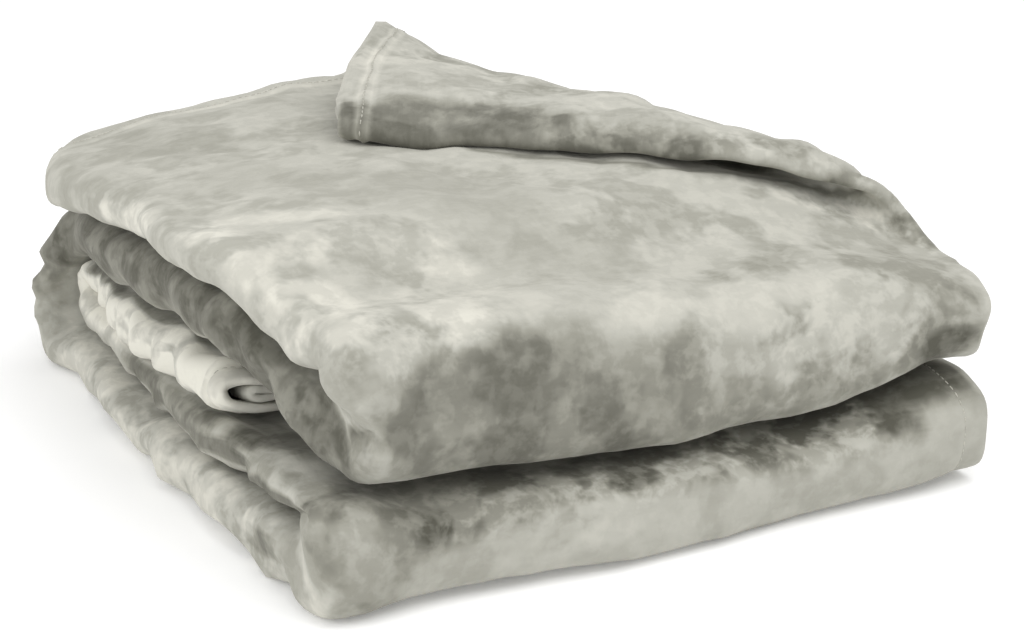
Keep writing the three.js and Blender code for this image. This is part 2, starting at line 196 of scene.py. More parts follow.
def ease(start, end, value):
    """0 before the start and 1 past the end, with a smooth step between them."""
    f = np.clip((value - start) / (end - start), 0, 1)
    return f * f * (3 - 2 * f)


def curve_through(places, values, at):
    """Smooth curve through a table, with no overshoot between its rows."""
    rise = np.diff(values) / np.diff(places)
    before, after = rise[:-1], rise[1:]
    same_way = before * after > 0
    middle = np.where(same_way, 2 * before * after / np.where(same_way, before + after, 1), 0)
    slope = np.concatenate([rise[:1], middle, rise[-1:]])
    i = np.clip(np.searchsorted(places, at, side="right") - 1, 0, len(places) - 2)
    span = places[i + 1] - places[i]
    f = np.clip((at - places[i]) / span, 0, 1)
    return (
        (1 + 2 * f) * (1 - f) ** 2 * values[i]
        + f * (1 - f) ** 2 * span * slope[i]
        + f * f * (3 - 2 * f) * values[i + 1]
        + f * f * (f - 1) * span * slope[i + 1]
    )


def layer_thickness(index, x, y):
    """Thickness of one layer of four plies at a place in plan."""
    front_left, front_right, middle_left, middle_right, back_left, back_right, crown = LAYERS[index]
    u = np.clip(x / WIDTH, -OVERHANG, 1 + OVERHANG)
    v = np.clip(y / DEPTH, -OVERHANG, 1 + OVERHANG)
    front = mix(front_left, front_right, u)
    middle = mix(middle_left, middle_right, u)
    back = mix(back_left, back_right, u)
    even = front * (1 - v) * (1 - 2 * v) + middle * 4 * v * (1 - v) + back * v * (2 * v - 1)
    # the crown is across the middle, and rises towards the back
    rising = np.sin(math.pi * (CROWN_FROM + v / 2))
    dome = (1 - (2 * u - 1) ** 2) * mix(CROWN_FRONT, 1, rising)
    thickness = even + crown * dome
    if index != TUCKED_LAYER:
        return thickness
    lap_start = mix(LAP_LEFT[0], LAP_RIGHT[0], u)
    lap_end = mix(LAP_LEFT[1], LAP_RIGHT[1], u)
    return mix(THINNEST, thickness, ease(lap_start, lap_end, y))


def height_of(level, x, y):
    """Height of a level above the floor, on which the lowest ply lies flat."""
    bottom = layer_thickness(0, x, y)
    over_lowest = (np.minimum(level, 1) - LOWEST_PLY) / (1 - LOWEST_PLY)
    z = CLOTH / 2 + over_lowest * (bottom - CLOTH / 2)
    for k in range(1, len(LAYERS)):
        share = np.maximum(level - k, 0)
        if k < len(LAYERS) - 1:
            share = np.minimum(share, 1)
        z = z + layer_thickness(k, x, y) * share
    return z


def half_turn(f, square):
    """Round or boxy half turn: along goes from 1 to -1 while out goes from 0 to 1 and back."""
    along, out = math.cos(math.pi * f), math.sin(math.pi * f)
    n = square[0] if f < 0.5 else square[1]
    k = (abs(along) ** n + abs(out) ** n) ** (-1 / n)
    return along * k, out * k


def from_ridge(x, y):
    """How far along the ridge of the turned corner a place lies, and how far past it."""
    way = (math.cos(RIDGE_ANGLE), math.sin(RIDGE_ANGLE))
    along = (x - RIDGE_X) * way[0] + (y - RIDGE_Y) * way[1]
    across = -(x - RIDGE_X) * way[1] + (y - RIDGE_Y) * way[0]
    return along, across - RIDGE_BEND * ease(*BEND_ALONG, along)


def pair_thickness(x, y):
    """Thickness of the upper two plies of the top layer, which the ridge pinches towards its end."""
    along, past = from_ridge(x, y)
    pinch = PINCH * ease(*PINCH_ALONG, along) * ease(*PINCH_BEFORE, past) * ease(*PINCH_DEPTH, y)
    return layer_thickness(len(LAYERS) - 1, x, y) * (1 - PAIR_FLOOR) * (1 - pinch)


def turn_back(x, y, level, right):
    """Rolls the upper pair of plies of the top layer over the ridge, where it lies past it."""
    along, past = from_ridge(x, y)
    floor = len(LAYERS) - 1 + PAIR_FLOOR
    pair = pair_thickness(x, y)
    above = (level - floor) / (1 - PAIR_FLOOR) * pair
    outer = curve_through(RIDGE_ALONG, RIDGE_OUTER, along)
    centre = outer - pair / 2
    radius = outer - above
    beyond = np.maximum(past, 0)
    angle = np.minimum(beyond / centre, math.pi)
    flat = np.maximum(beyond - math.pi * centre, 0)
    shift = radius * np.sin(angle) - flat - beyond
    new_x = x - math.sin(RIDGE_ANGLE) * shift
    new_y = y + math.cos(RIDGE_ANGLE) * shift
    to_edge = np.maximum(right - x, 0)
    reached = flat / np.maximum(flat + to_edge, 1e-6)
    plies = (TOP_PLY - PAIR_FLOOR) / (1 - PAIR_FLOOR) * (pair + pair_thickness(new_x, new_y))
    gap = np.maximum(2 * outer - plies - CLOTH - FLAP_GAP, 0)
    lift = outer - radius * np.cos(angle) - gap * reached ** DROOP_POWER * ease(0, DROOP_OVER, flat)
    flat_z = height_of(floor, x, y) + above
    turned_z = height_of(floor, new_x, new_y) + lift
    lies_flat = past <= 0
    return (
        np.where(lies_flat, x, new_x),
        np.where(lies_flat, y, new_y),
        np.where(lies_flat, flat_z, turned_z),
    )


def steps_through(part, length):
    """Fractions of a leg or a ply where the grid has a line, closer at a stitched hem."""
    fractions = np.linspace(0, 1, part["steps"] + 1)
    if "hem" not in part:
        return fractions[:-1]
    hem = np.array(HEM_LINES) * HEM / length
    fractions = np.concatenate([hem, np.linspace(hem[-1], 1, part["steps"] + 1)[1:]])
    if part["hem"] == "end":
        fractions = np.sort(1 - fractions)
    return fractions[:-1]


leg_names = list(LEGS)
rows = []
for index, leg in enumerate(LEGS.values()):
    length = abs(leg["run"][0] - leg["run"][1]) if "run" in leg else None
    rows += [index + f for f in steps_through(leg, length)]
rows.append(len(LEGS))
columns = []
for index, ply in enumerate(PLIES):
    columns += [index + f for f in steps_through(ply, WIDTH - SIDE_REACH)]
columns.append(len(PLIES))

edge_places = np.array([leg_names.index(name) + at for name, at, left, right in EDGES])
edge_left = np.array([float(left) for name, at, left, right in EDGES])
edge_right = np.array([float(right) for name, at, left, right in EDGES])


def place_across(across, left, right):
    """Place across the strip, and height in its layer, of a point of the cloth."""
    ply = PLIES[min(int(across), len(PLIES) - 1)]
    f = across - PLIES.index(ply)
    left_turn, right_turn = left + SIDE_REACH, right - TIGHT_REACH
    right_end = right - HEM_SETBACK if "hem" in ply else right_turn
    if ply["run"] == "leftwards":
        return mix(right_end, left_turn, f), ply["height"]
    if ply["run"] == "rightwards":
        return mix(left_turn, right_end, f), ply["height"]
    if ply["run"] == "right turn":
        along, out = half_turn(f, (ROUND, ROUND))
        return right_turn + TIGHT_REACH * out, ply["centre"] + ply["radius"] * along
    along, out = half_turn(f, (SIDE_SQUARE, SIDE_SQUARE))
    reach = SIDE_REACH if ply["radius"] > 0 else TIGHT_REACH
    return left_turn - reach * out, ply["centre"] - ply["radius"] * along


def fold(along, columns):
    """One row of the cloth's middle surface, folded."""
    name = leg_names[min(int(along), len(LEGS) - 1)]
    leg = LEGS[name]
    f = along - leg_names.index(name)
    left = float(curve_through(edge_places, edge_left, np.array([along]))[0])
    right = float(curve_through(edge_places, edge_right, np.array([along]))[0])
    x, height = np.array([place_across(across, left, right) for across in columns]).T
    if name == "tucked":
        height = 0.5 + (height - 0.5) * (1 - END_CLOSED * ease(*CLOSING, f))
    over = np.clip(x / WIDTH, 0, 1)
    forward = NOSE_FORWARD * (1 - over) ** NOSE_POWER
    if "run" in leg:
        y = mix(*leg["run"], f) + 0 * x
        if name == "top back":
            y = y + END_BOW * np.sin(math.pi * over) * (1 - f)
        if name == "top front":
            y = y - forward * f
        if name == "second front":
            y = y - forward * (1 - f)
        level = leg["level"] + leg["sign"] * height
    else:
        radius = np.abs(leg["inner"] - height)
        turned, out = half_turn(f, leg["square"])
        y = leg["turn"] + leg["reach"] * radius * out - (forward if name == "upper nose" else 0)
        level = leg["level"] + leg["sign"] * radius * turned
    z = height_of(level, x, y)
    if name in ("top back", "top front"):
        rolled = turn_back(x, y, level, right)
        upper = height > PAIR_FLOOR
        x, y, z = (np.where(upper, new, old) for new, old in zip(rolled, (x, y, z)))
    return np.stack([x, y, z], axis=1)


folded = np.array([fold(along, columns) for along in rows])
noise.seed_set(4)


def shift_by_noise(points, size, depth, offset):
    """
    Soft unevenness, from one place in the noise, with bumps of a depth and a size in millimetres,
    and three sizes where it isn't even. Neighbouring plies move together, so none passes another.
    """
    places = points.reshape(-1, 3) / size
    away = Vector((offset, 7.3 * offset, 1.7))
    moves = [noise.noise_vector(Vector(place) + away) for place in places]
    return points + depth * np.array(moves).reshape(points.shape)


def near(points, centre, reach):
    """1 at the centre, falling softly to 0 at the reach."""
    far = np.sum(((points - np.array(centre)) / np.array(reach)) ** 2, axis=-1)
    return np.clip(1 - far, 0, 1) ** 2


# where the folds have sagged or been pushed: the place, how far it reaches and the move there
PRESSES = [
    # x, y, z, reach in x, y, z, move in x, y, z
    (115, 5, 62, 120, 90, 50, 0, -2, -12),
    (8, -5, 64, 60, 50, 36, 0, -3, -4),
    (0, -4, 42, 45, 45, 24, 0, 0, 8),
    (-6, 2, 49, 14, 14, 8, 4, 2, 0),
    (2, -16, 52, 14, 14, 8, 2.5, 4, 0),
    (18, -24, 53, 18, 12, 8, 0, 4, 0),
    (4, 12, 92, 24, 46, 24, 8, 0, 0),
    (4, -9, 104, 18, 24, 15, -3, -2, 0),
    (14, -10, 87, 11, 12, 7, 4, 5, 0),
    (19, -14, 77, 12, 14, 8, -3, -4, 0),
    (2, 34, 25, 28, 44, 12, -9, 0, 2),
    (-13, 4, 24, 18, 24, 26, 4, 0, 0),
    (240, 2, 64, 104, 90, 46, 0, 0, -10),
    (130, -30, 8, 120, 40, 24, 0, -5, 0),
    (366, -8, 62, 46, 70, 40, 0, 0, 4),
    (206, 390, 168, 90, 60, 50, 8, -3, 3),
    (176, 228, 158, 50, 40, 16, 0, 0, -6),
    (146, 284, 162, 30, 50, 24, -4, 2, 0),
]
# where the cloth is rippled: the place, its reach, the move, and the length and the way of a ripple
RIPPLES = [
    # x, y, z, reach in x, y, z, move in x, y, z, length, way in x, y, z
    (0, 70, 94, 32, 100, 28, 3.4, 0, 0.8, 34, 0, 0.7, -0.7),
    (-8, 200, 70, 26, 120, 26, 2.6, 0, 1.2, 30, 0, 1, -0.7),
    (-12, 80, 34, 34, 110, 34, 2.2, 0.6, 1.0, 36, 0, 1, -0.5),
    (-12, 290, 34, 34, 110, 34, 1.2, 0.4, 0.6, 47, 0, 1, 0.4),
    (2, 392, 52, 34, 30, 44, 2.8, -1.6, 0, 17, 0.1, 0.2, 1),
]
TOP_FROM = 132                     # the top of the stack and the turned corner are above this
NEAR_CORNER, CORNER_REACH = (14, -4, 96), (42, 40, 40)

# the flat panel: how far each line of the grid is from the first along the cloth, as it was cut
row_gaps = np.median(np.linalg.norm(np.diff(folded, axis=0), axis=2), axis=1)
column_gaps = np.median(np.linalg.norm(np.diff(folded, axis=1), axis=2), axis=0)
flat_y = np.concatenate([[0], np.cumsum(row_gaps)])
flat_x = np.concatenate([[0], np.cumsum(column_gaps)])
FLAT = (flat_x[-1] * MM, flat_y[-1] * MM)

for *place, reach_x, reach_y, reach_z, x, y, z in PRESSES:
    folded = folded + near(folded, place, (reach_x, reach_y, reach_z))[..., None] * np.array([x, y, z])
for *place, reach_x, reach_y, reach_z, x, y, z, length, way_x, way_y, way_z in RIPPLES:
    phase = (folded - np.array(place)) @ np.array([way_x, way_y, way_z]) * (2 * math.pi / length)
    share = near(folded, place, (reach_x, reach_y, reach_z)) * np.sin(phase)
    folded = folded + share[..., None] * np.array([x, y, z])
# unevenness of the top, of the left side below the top layer, and of the near upper corner, which
# fades out between the places that ease is given
on_top = ease(0, 10, folded[..., 2] - TOP_FROM)[..., None]
folded = mix(folded, shift_by_noise(folded, 24, 2.2, 5.0), on_top)
at_left = (ease(45, 5, folded[..., 0]) * ease(128, 108, folded[..., 2]))[..., None]
folded = mix(folded, shift_by_noise(folded, (60, 22, 30), 4.0, 3.0), at_left)
at_side = ease(30, 0, folded[..., 0]) * ease(112, 96, folded[..., 2]) * ease(-20, 60, folded[..., 1])
folded = mix(folded, shift_by_noise(folded, 22, 3.4, 8.0), at_side[..., None])
at_corner = near(folded, NEAR_CORNER, CORNER_REACH)[..., None]
folded = mix(folded, shift_by_noise(folded, 13, 4.2, 6.0), at_corner)
# and of the whole cloth: slow waves, softer bumps and small dents
folded = shift_by_noise(folded, 95, 5.0, 1.0)
folded = shift_by_noise(folded, 42, 3.0, 2.0)
folded = shift_by_noise(folded, 18, 1.0, 4.0)
# the floor holds up whatever was pushed below it
at_side_hem = np.minimum(flat_x, flat_x[-1] - flat_x) < SIDE_HEM_HELD
lowest = np.where(at_side_hem, HEM_THICK / 2, CLOTH / 2) + FLOOR_GAP
folded[..., 2] = np.maximum(folded[..., 2], lowest)

panel = bmesh.new()
bmesh.ops.create_grid(panel, x_segments=len(columns) - 1, y_segments=len(rows) - 1, size=0.5)
cloth = bpy.data.meshes.new("fleece_blanket")
panel.to_mesh(cloth)
panel.free()
grid = np.empty(len(cloth.vertices) * 3)
cloth.vertices.foreach_get("co", grid)
grid = grid.reshape(-1, 3)
column_of = np.rint((grid[:, 0] + 0.5) * (len(columns) - 1)).astype(int)
row_of = np.rint((grid[:, 1] + 0.5) * (len(rows) - 1)).astype(int)
placed = (folded[row_of, column_of] - np.array([*MIDDLE, 0])) * MM
cloth.vertices.foreach_set("co", placed.ravel())
cloth.update()
cloth.polygons.foreach_set("use_smooth", [True] * len(cloth.polygons))

blanket = bpy.data.objects.new("fleece_blanket", cloth)
bpy.context.collection.objects.link(blanket)

# where each point was on the flat cloth, for the pattern of the pile
uv = cloth.uv_layers.new(name="flat")
corner_vertex = np.empty(len(cloth.loops), dtype=int)
cloth.loops.foreach_get("vertex_index", corner_vertex)
flat = np.stack([flat_x[column_of] / flat_x[-1], flat_y[row_of] / flat_y[-1]], axis=1)
uv.data.foreach_set("uv", flat[corner_vertex].ravel())

# the hem is two thicknesses of fleece, rounded at its edge and pulled thin where it is stitched,
# and less of that shows along the sides, where the plies press on it
from_side = np.minimum(flat_x[column_of], flat_x[-1] - flat_x[column_of])
from_edge = np.minimum(from_side, np.minimum(flat_y[row_of], flat_y[-1] - flat_y[row_of]))
thickness = mix(HEM_THICK, CLOTH, ease(HEM_TURNED, HEM_TURNED + HEM_STEP, from_edge))
thickness = np.where(from_edge < ROUNDED, CLOTH * EDGE_THICK, thickness)
thickness = mix(STITCH_THIN, thickness, ease(0, STITCH_PULL, np.abs(from_edge - HEM)))
thickness = np.where(from_side <= from_edge, mix(CLOTH, thickness, SIDE_HEM_SHOWS), thickness)
group = blanket.vertex_groups.new(name="thickness")
for value in np.unique(np.round(thickness, 2)):
    chosen = np.nonzero(np.round(thickness, 2) == value)[0]
    group.add([int(each) for each in chosen], float(value / HEM_THICK), "REPLACE")
solid = blanket.modifiers.new("thickness of the fleece", "SOLIDIFY")
solid.thickness = HEM_THICK * MM
solid.offset = 0
solid.vertex_group = "thickness"
solid.use_even_offset = False
solid.use_rim = True


def socket_value(hex_colour):
    """An sRGB hex colour as the linear values of a shader socket."""
    channels = [int(hex_colour[k:k + 2], 16) / 255 for k in (1, 3, 5)]
    linear = [c / 12.92 if c <= 0.04045 else ((c + 0.055) / 1.055) ** 2.4 for c in channels]
    return (*linear, 1.0)


def add_node(tree, kind, settings=None, values=None, links=None):
    """Adds a node with its settings, its socket values and the sockets that feed it."""
    node = tree.nodes.new(kind)
    for name, value in (settings or {}).items():
        setattr(node, name, value)
    for name, value in (values or {}).items():
        node.inputs[name].default_value = value
    for name, source in (links or {}).items():
        tree.links.new(source, node.inputs[name])
    return node


# Flannel fleece of polyester microfibre, brushed and sheared to a short dense pile. Where the pile
# is stroked towards the eye it looks dark, and where it lies away it looks pale and silky, so that
# a crushed throw is mottled all over with feathery patches.
CRUSHED_PATCH, FEATHER = 0.032, 0.0105    # metres across
PILE_ROW = 0.0028                  # the real rows are under 1 mm, drawn coarser so that they show
ROWS_DRAWN_OUT = 0.2               # the rows run across the panel, five times as long as wide
PILE_DEPTH = 0.002                 # the height of the pile

fleece = bpy.data.materials.new("plush_flannel_fleece")
fleece.use_nodes = True
tree = fleece.node_tree
shader = tree.nodes["Principled BSDF"]
shader.inputs["Roughness"].default_value = 0.95
shader.inputs["Specular IOR Level"].default_value = 0.2
shader.inputs["Sheen Weight"].default_value = 0.25
shader.inputs["Sheen Roughness"].default_value = 0.45
shader.inputs["Sheen Tint"].default_value = socket_value("#E6E4DA")
flat_map = add_node(tree, "ShaderNodeUVMap", {"uv_map": "flat"})
in_metres = add_node(
    tree, "ShaderNodeMapping", None, {"Scale": (FLAT[0], FLAT[1], 1)}, {"Vector": flat_map.outputs[0]}
)
in_place = add_node(tree, "ShaderNodeTexCoord")
# crushed patches and the feathery tufts at their edges, and the rows of pile along the knitting
crushed = add_node(
    tree, "ShaderNodeTexNoise", None,
    {"Scale": 1 / CRUSHED_PATCH, "Detail": 3, "Roughness": 0.55, "Distortion": 0.25},
    {"Vector": in_place.outputs["Object"]},
)
feathers = add_node(
    tree, "ShaderNodeTexNoise", None,
    {"Scale": 1 / FEATHER, "Detail": 3, "Roughness": 0.6, "Distortion": 0.2},
    {"Vector": in_place.outputs["Object"]},
)
across_rows = add_node(
    tree, "ShaderNodeMapping", None,
    {"Scale": (ROWS_DRAWN_OUT, 1.0, 1.0)}, {"Vector": in_metres.outputs[0]},
)
pile_rows = add_node(
    tree, "ShaderNodeTexNoise", None,
    {"Scale": 1 / PILE_ROW, "Detail": 2, "Roughness": 0.6, "Distortion": 0.2},
    {"Vector": across_rows.outputs[0]},
)
# the lean of the pile as it was brushed, with the painted shade and painted light of the strokes,
# mottled as far as it was crushed there
nap_shade_and_light = add_node(tree, "ShaderNodeAttribute", {"attribute_name": "nap_shade_and_light"})
crush = add_node(tree, "ShaderNodeAttribute", {"attribute_name": "crush"})
patch_edges = add_node(
    tree, "ShaderNodeMapRange", {"interpolation_type": "SMOOTHSTEP"},
    {"From Min": 0.41, "From Max": 0.57, "To Min": -0.5, "To Max": 0.5}, {"Value": crushed.outputs[0]},
)
feather_edges = add_node(
    tree, "ShaderNodeMapRange", {"interpolation_type": "SMOOTHSTEP"},
    {"From Min": 0.42, "From Max": 0.62, "To Min": -0.25, "To Max": 0.3}, {"Value": feathers.outputs[0]},
)
patches = add_node(
    tree, "ShaderNodeMath", {"operation": "ADD"}, None,
    {0: patch_edges.outputs[0], 1: feather_edges.outputs[0]},
)
spread = add_node(
    tree, "ShaderNodeMath", {"operation": "MULTIPLY_ADD"}, {1: 0.36, 2: 0.03}, {0: crush.outputs["Fac"]}
)
brushed_shade_and_light = add_node(
    tree, "ShaderNodeMath", {"operation": "MULTIPLY_ADD"}, None,
    {0: patches.outputs[0], 1: spread.outputs[0], 2: nap_shade_and_light.outputs["Fac"]},
)
lean_shade_and_light = add_node(
    tree, "ShaderNodeMath", {"operation": "MULTIPLY_ADD"}, {1: 0.08},
    {0: pile_rows.outputs[0], 2: brushed_shade_and_light.outputs[0]},
)
flat_place = add_node(tree, "ShaderNodeSeparateXYZ", None, None, {"Vector": in_metres.outputs[0]})
from_end = add_node(
    tree, "ShaderNodeMath", {"operation": "PINGPONG"}, {1: FLAT[1] / 2}, {0: flat_place.outputs["Y"]}
)
# the pile parts along the end hems' stitching and over the raw edge inside, and catches the light
hem_lines = add_node(tree, "ShaderNodeValToRGB", None, None, {"Fac": from_end.outputs[0]})
hem_lines.color_ramp.elements[0].color = (0.5, 0.5, 0.5, 1)
hem_lines.color_ramp.elements[1].color = (0, 0, 0, 1)
hem_lines.color_ramp.elements[1].position = HEM_TURNED * MM + 0.0035
for position, value in (
    (0.0022, 0.0), (HEM * MM - 0.0022, 0.0), (HEM * MM, 0.75), (HEM * MM + 0.002, 0.0),
    (HEM_TURNED * MM - 0.0008, 0.1), (HEM_TURNED * MM + 0.001, 0.7),
):
    hem_lines.color_ramp.elements.new(position).color = (value, value, value, 1)
lean_shade_light_at_hem = add_node(
    tree, "ShaderNodeMath", {"operation": "MULTIPLY_ADD"}, {1: 0.42},
    {0: hem_lines.outputs[0], 2: lean_shade_and_light.outputs[0]},
)
# a warm light grey, dark where the ends of the pile face the eye and where shade is painted, pale where
# light is painted
tone = add_node(tree, "ShaderNodeValToRGB", None, None, {"Fac": lean_shade_light_at_hem.outputs[0]})
ramp = tone.color_ramp
ramp.elements[0].position, ramp.elements[0].color = 0.0, socket_value("#504F46")
ramp.elements[1].position, ramp.elements[1].color = 1.0, socket_value("#D2D0C5")
for position, colour in ((0.2, "#74736A"), (0.33, "#8A897F"), (0.58, "#ACABA2"), (0.83, "#C3C1B7")):
    ramp.elements.new(position).color = socket_value(colour)
tree.links.new(tone.outputs[0], shader.inputs["Base Color"])
relief = add_node(
    tree, "ShaderNodeMath", {"operation": "MULTIPLY_ADD"}, {1: 0.15},
    {0: pile_rows.outputs[0], 2: feathers.outputs[0]},
)
pile_bump = add_node(
    tree, "ShaderNodeBump", None,
    {"Strength": 0.35, "Distance": PILE_DEPTH}, {"Height": relief.outputs[0]},
)
tree.links.new(pile_bump.outputs[0], shader.inputs["Normal"])
cloth.materials.append(fleece)

# Strokes that brushed the pile one way, and strokes of painted shade and painted light, each from one
# point of the picture to another, with how far it reaches to either side. Lean, with the painted shade
# and light, is dark at 0 and pale at 1, and crush is how mottled it was left.
STROKES = [
    # from x, y, to x, y, reach in mm, lean with painted shade and light, crush
    # top of the stack
    (60, 175, 130, 200, 26, 0.46, 0.25),
    (100, 205, 150, 232, 9, 0.64, 0.8),
    (200, 230, 300, 330, 12, 0.66, 0.7),
    (110, 140, 200, 150, 24, 0.42, 0.2),
    (150, 125, 330, 108, 20, 0.46, 0.2),
    (230, 180, 400, 190, 26, 0.44, 0.15),
    (230, 225, 330, 215, 10, 0.64, 0.4),
    (250, 262, 350, 232, 12, 0.62, 0.5),
    (430, 195, 570, 232, 34, 0.45, 0.12),
    (395, 250, 450, 262, 16, 0.64, 0.5),
    (500, 255, 600, 268, 22, 0.45, 0.12),
    (600, 222, 760, 235, 24, 0.50, 0.4),
    (790, 190, 870, 222, 18, 0.56, 0.8),
    (740, 272, 930, 262, 22, 0.40, 0.4),
    # upper front fold, where it rounds over and down
    (320, 300, 370, 320, 14, 0.66, 0.6),
    (420, 305, 520, 305, 20, 0.60, 0.5),
    (520, 300, 640, 306, 18, 0.58, 0.2),
    (640, 312, 730, 326, 18, 0.62, 0.3),
    (664, 338, 700, 340, 8, 0.60, 0.3),
    (505, 340, 532, 336, 7, 0.60, 0.3),
    (720, 314, 850, 302, 18, 0.58, 0.3),
    (860, 300, 940, 290, 14, 0.42, 0.5),
    (345, 340, 372, 345, 9, 0.64, 0.6),
    (390, 335, 430, 345, 10, 0.56, 0.7),
    (440, 340, 480, 335, 12, 0.62, 0.8),
    (375, 378, 450, 370, 14, 0.48, 0.6),
    # its front, and its near corner, with painted shade at its right end and on the set-back layer
    # beside the corner
    (365, 392, 372, 412, 7, 0.46, 0.4),
    (395, 410, 430, 420, 12, 0.34, 0.35),
    (505, 375, 590, 378, 16, 0.17, 0.3),
    (600, 385, 690, 372, 14, 0.30, 0.3),
    (440, 415, 560, 412, 18, 0.16, 0.3),
    (560, 425, 690, 405, 14, 0.22, 0.3),
    (480, 450, 620, 435, 9, 0.18, 0.4),
    (700, 370, 760, 385, 16, 0.36, 0.5),
    (720, 405, 800, 395, 8, 0.34, 0.4),
    (790, 345, 850, 350, 14, 0.46, 0.6),
    (800, 378, 900, 362, 8, 0.36, 0.5),
    (900, 340, 930, 330, 10, 0.40, 0.7),
    # painted shade on the lower part of the fold's right end
    (930, 352, 965, 335, 10, 0.02, 0.4),
    (955, 300, 972, 312, 8, 0.30, 0.4),
    (400, 445, 450, 456, 10, 0.22, 0.35),
    (336, 400, 338, 408, 4, 0.50, 0.4),
    (346, 414, 351, 422, 2.5, 0.62, 0.3),
    (358, 434, 362, 440, 3, 0.10, 0.2),
    (364, 456, 374, 464, 6, 0.40, 0.3),
    # painted shade on the layer set back under the corner's overhang
    (306, 400, 330, 460, 9, 0.14, 0.4),
    # lower front fold: a painted shadow along the crease under the upper one
    (350, 500, 400, 504, 9, 0.00, 0.4),
    (395, 505, 530, 485, 10, 0.00, 0.4),
    (530, 487, 660, 457, 8, 0.04, 0.5),
    (660, 456, 790, 428, 9, 0.04, 0.6),
    (790, 430, 870, 410, 9, 0.02, 0.5),
    (870, 408, 950, 382, 10, 0.00, 0.3),
    # its top edge: mottled pile, darkened with painted shade under the upper fold
    (340, 516, 470, 520, 16, 0.04, 0.6),
    (325, 538, 400, 536, 12, 0.16, 0.4),
    (430, 534, 500, 522, 10, 0.14, 0.5),
    (370, 552, 470, 540, 8, 0.12, 0.9),
    (500, 508, 580, 496, 11, 0.14, 0.8),
    (580, 496, 665, 482, 9, 0.24, 0.9),
    (660, 478, 740, 458, 6, 0.20, 1.0),
    (740, 448, 885, 428, 10, 0.14, 1.0),
    (950, 404, 978, 408, 7, 0.30, 0.3),
    (880, 406, 950, 388, 11, 0.00, 0.3),
    (600, 508, 715, 480, 8, 0.22, 0.9),
    (715, 474, 880, 454, 7, 0.26, 0.9),
    # its smooth pale foot
    (480, 572, 700, 522, 10, 0.52, 0.1),
    (700, 514, 970, 450, 9, 0.48, 0.15),
    (930, 440, 978, 434, 8, 0.46, 0.1),
    (560, 530, 620, 514, 6, 0.50, 0.3),
    (350, 560, 395, 568, 11, 0.34, 0.4),
    (425, 585, 480, 572, 9, 0.48, 0.2),
    (305, 575, 325, 600, 10, 0.50, 0.3),
    (345, 602, 400, 592, 6, 0.28, 0.3),
    # rolled end of the tucked layer: painted light where it faces up, and painted shade in the gap above
    # it
    (85, 295, 225, 372, 16, 0.80, 1.0),
    (150, 362, 222, 392, 9, 0.84, 1.0),
    (168, 344, 174, 348, 2.6, 0.30, 0.2),
    (225, 380, 250, 400, 10, 0.84, 0.4),
    # painted shade in the gap between the roll and the layer above
    (92, 268, 150, 308, 6, 0.10, 0.4),
    (150, 308, 212, 350, 5, 0.16, 0.4),
    # cloth in shade above and below that end
    (60, 240, 120, 255, 20, 0.06, 0.4),
    (120, 255, 230, 318, 20, 0.06, 0.4),
    (230, 330, 330, 440, 20, 0.10, 0.4),
    (232, 408, 300, 448, 9, 0.02, 0.2),
    (80, 326, 130, 358, 6, 0.06, 0.3),
    (130, 364, 160, 386, 6, 0.02, 0.3),
    (155, 392, 215, 420, 8, 0.14, 0.5),
    (235, 435, 310, 455, 9, 0.02, 0.4),
    # left side folds, down to the near lower corner: painted light over their outer faces, which lie in
    # shade, and painted shade in their grooves, their puckers and the far left band
    (255, 466, 285, 482, 7, 0.46, 0.5),
    (225, 462, 232, 478, 6, 0.16, 0.4),
    (262, 502, 300, 512, 7, 0.14, 0.4),
    (310, 492, 335, 507, 7, 0.26, 0.5),
    (50, 330, 200, 470, 22, 0.60, 0.7),
    (200, 480, 290, 560, 20, 0.58, 0.7),
    (305, 525, 318, 548, 7, 0.30, 0.3),
    (296, 524, 300, 575, 7, 0.42, 0.2),
    (262, 540, 280, 556, 4, 0.16, 0.4),
    (40, 256, 50, 300, 12, 0.26, 0.4),
    (42, 305, 56, 330, 9, 0.40, 0.4),
    # turned-back corner: its hem, its front and its roll, and a thin painted shadow where it rests on
    # the top
    (365, 60, 420, 60, 18, 0.50, 0.6),
    (470, 96, 540, 96, 8, 0.48, 0.6),
    (345, 125, 400, 132, 9, 0.12, 0.2),
    (405, 128, 480, 134, 9, 0.14, 0.2),
    (352, 110, 450, 114, 9, 0.08, 0.3),
    (390, 134, 540, 138, 9, 0.12, 0.2),
    (455, 112, 560, 120, 11, 0.16, 0.4),
    (560, 134, 690, 148, 10, 0.22, 0.5),
    # a thin painted shadow along the line where the corner rests on the top
    (360, 143, 470, 150, 3, 0.12, 0.1),
    (470, 152, 650, 168, 3, 0.16, 0.1),
    (650, 170, 860, 191, 3, 0.16, 0.1),
    (700, 160, 850, 176, 7, 0.16, 0.4),
    (440, 62, 620, 98, 12, 0.48, 0.7),
    (580, 106, 690, 122, 7, 0.54, 0.5),
    (720, 140, 850, 168, 10, 0.46, 0.7),
    (870, 190, 930, 250, 12, 0.36, 0.8),
]
corners = [tuple(polygon.vertices) for polygon in cloth.polygons]
surface = BVHTree.FromPolygons([tuple(place) for place in placed], corners)
on_flat = np.stack([flat_x[column_of], flat_y[row_of]], axis=1)


def seen_at(px, py):
    """The point of the flat cloth that shows at a pixel, or just inside the outline there."""
    hit = None
    while hit is None:
        hit, normal, face, distance = surface.ray_cast(CAMERA_PLACE, line_of_sight(px, py))
        px, py = mix(px, PICTURE[0] / 2, 0.01), mix(py, PICTURE[1] / 2, 0.01)
    shares = poly_3d_calc([Vector(placed[corner]) for corner in corners[face]], hit)
    return np.array(shares) @ on_flat[list(corners[face])]


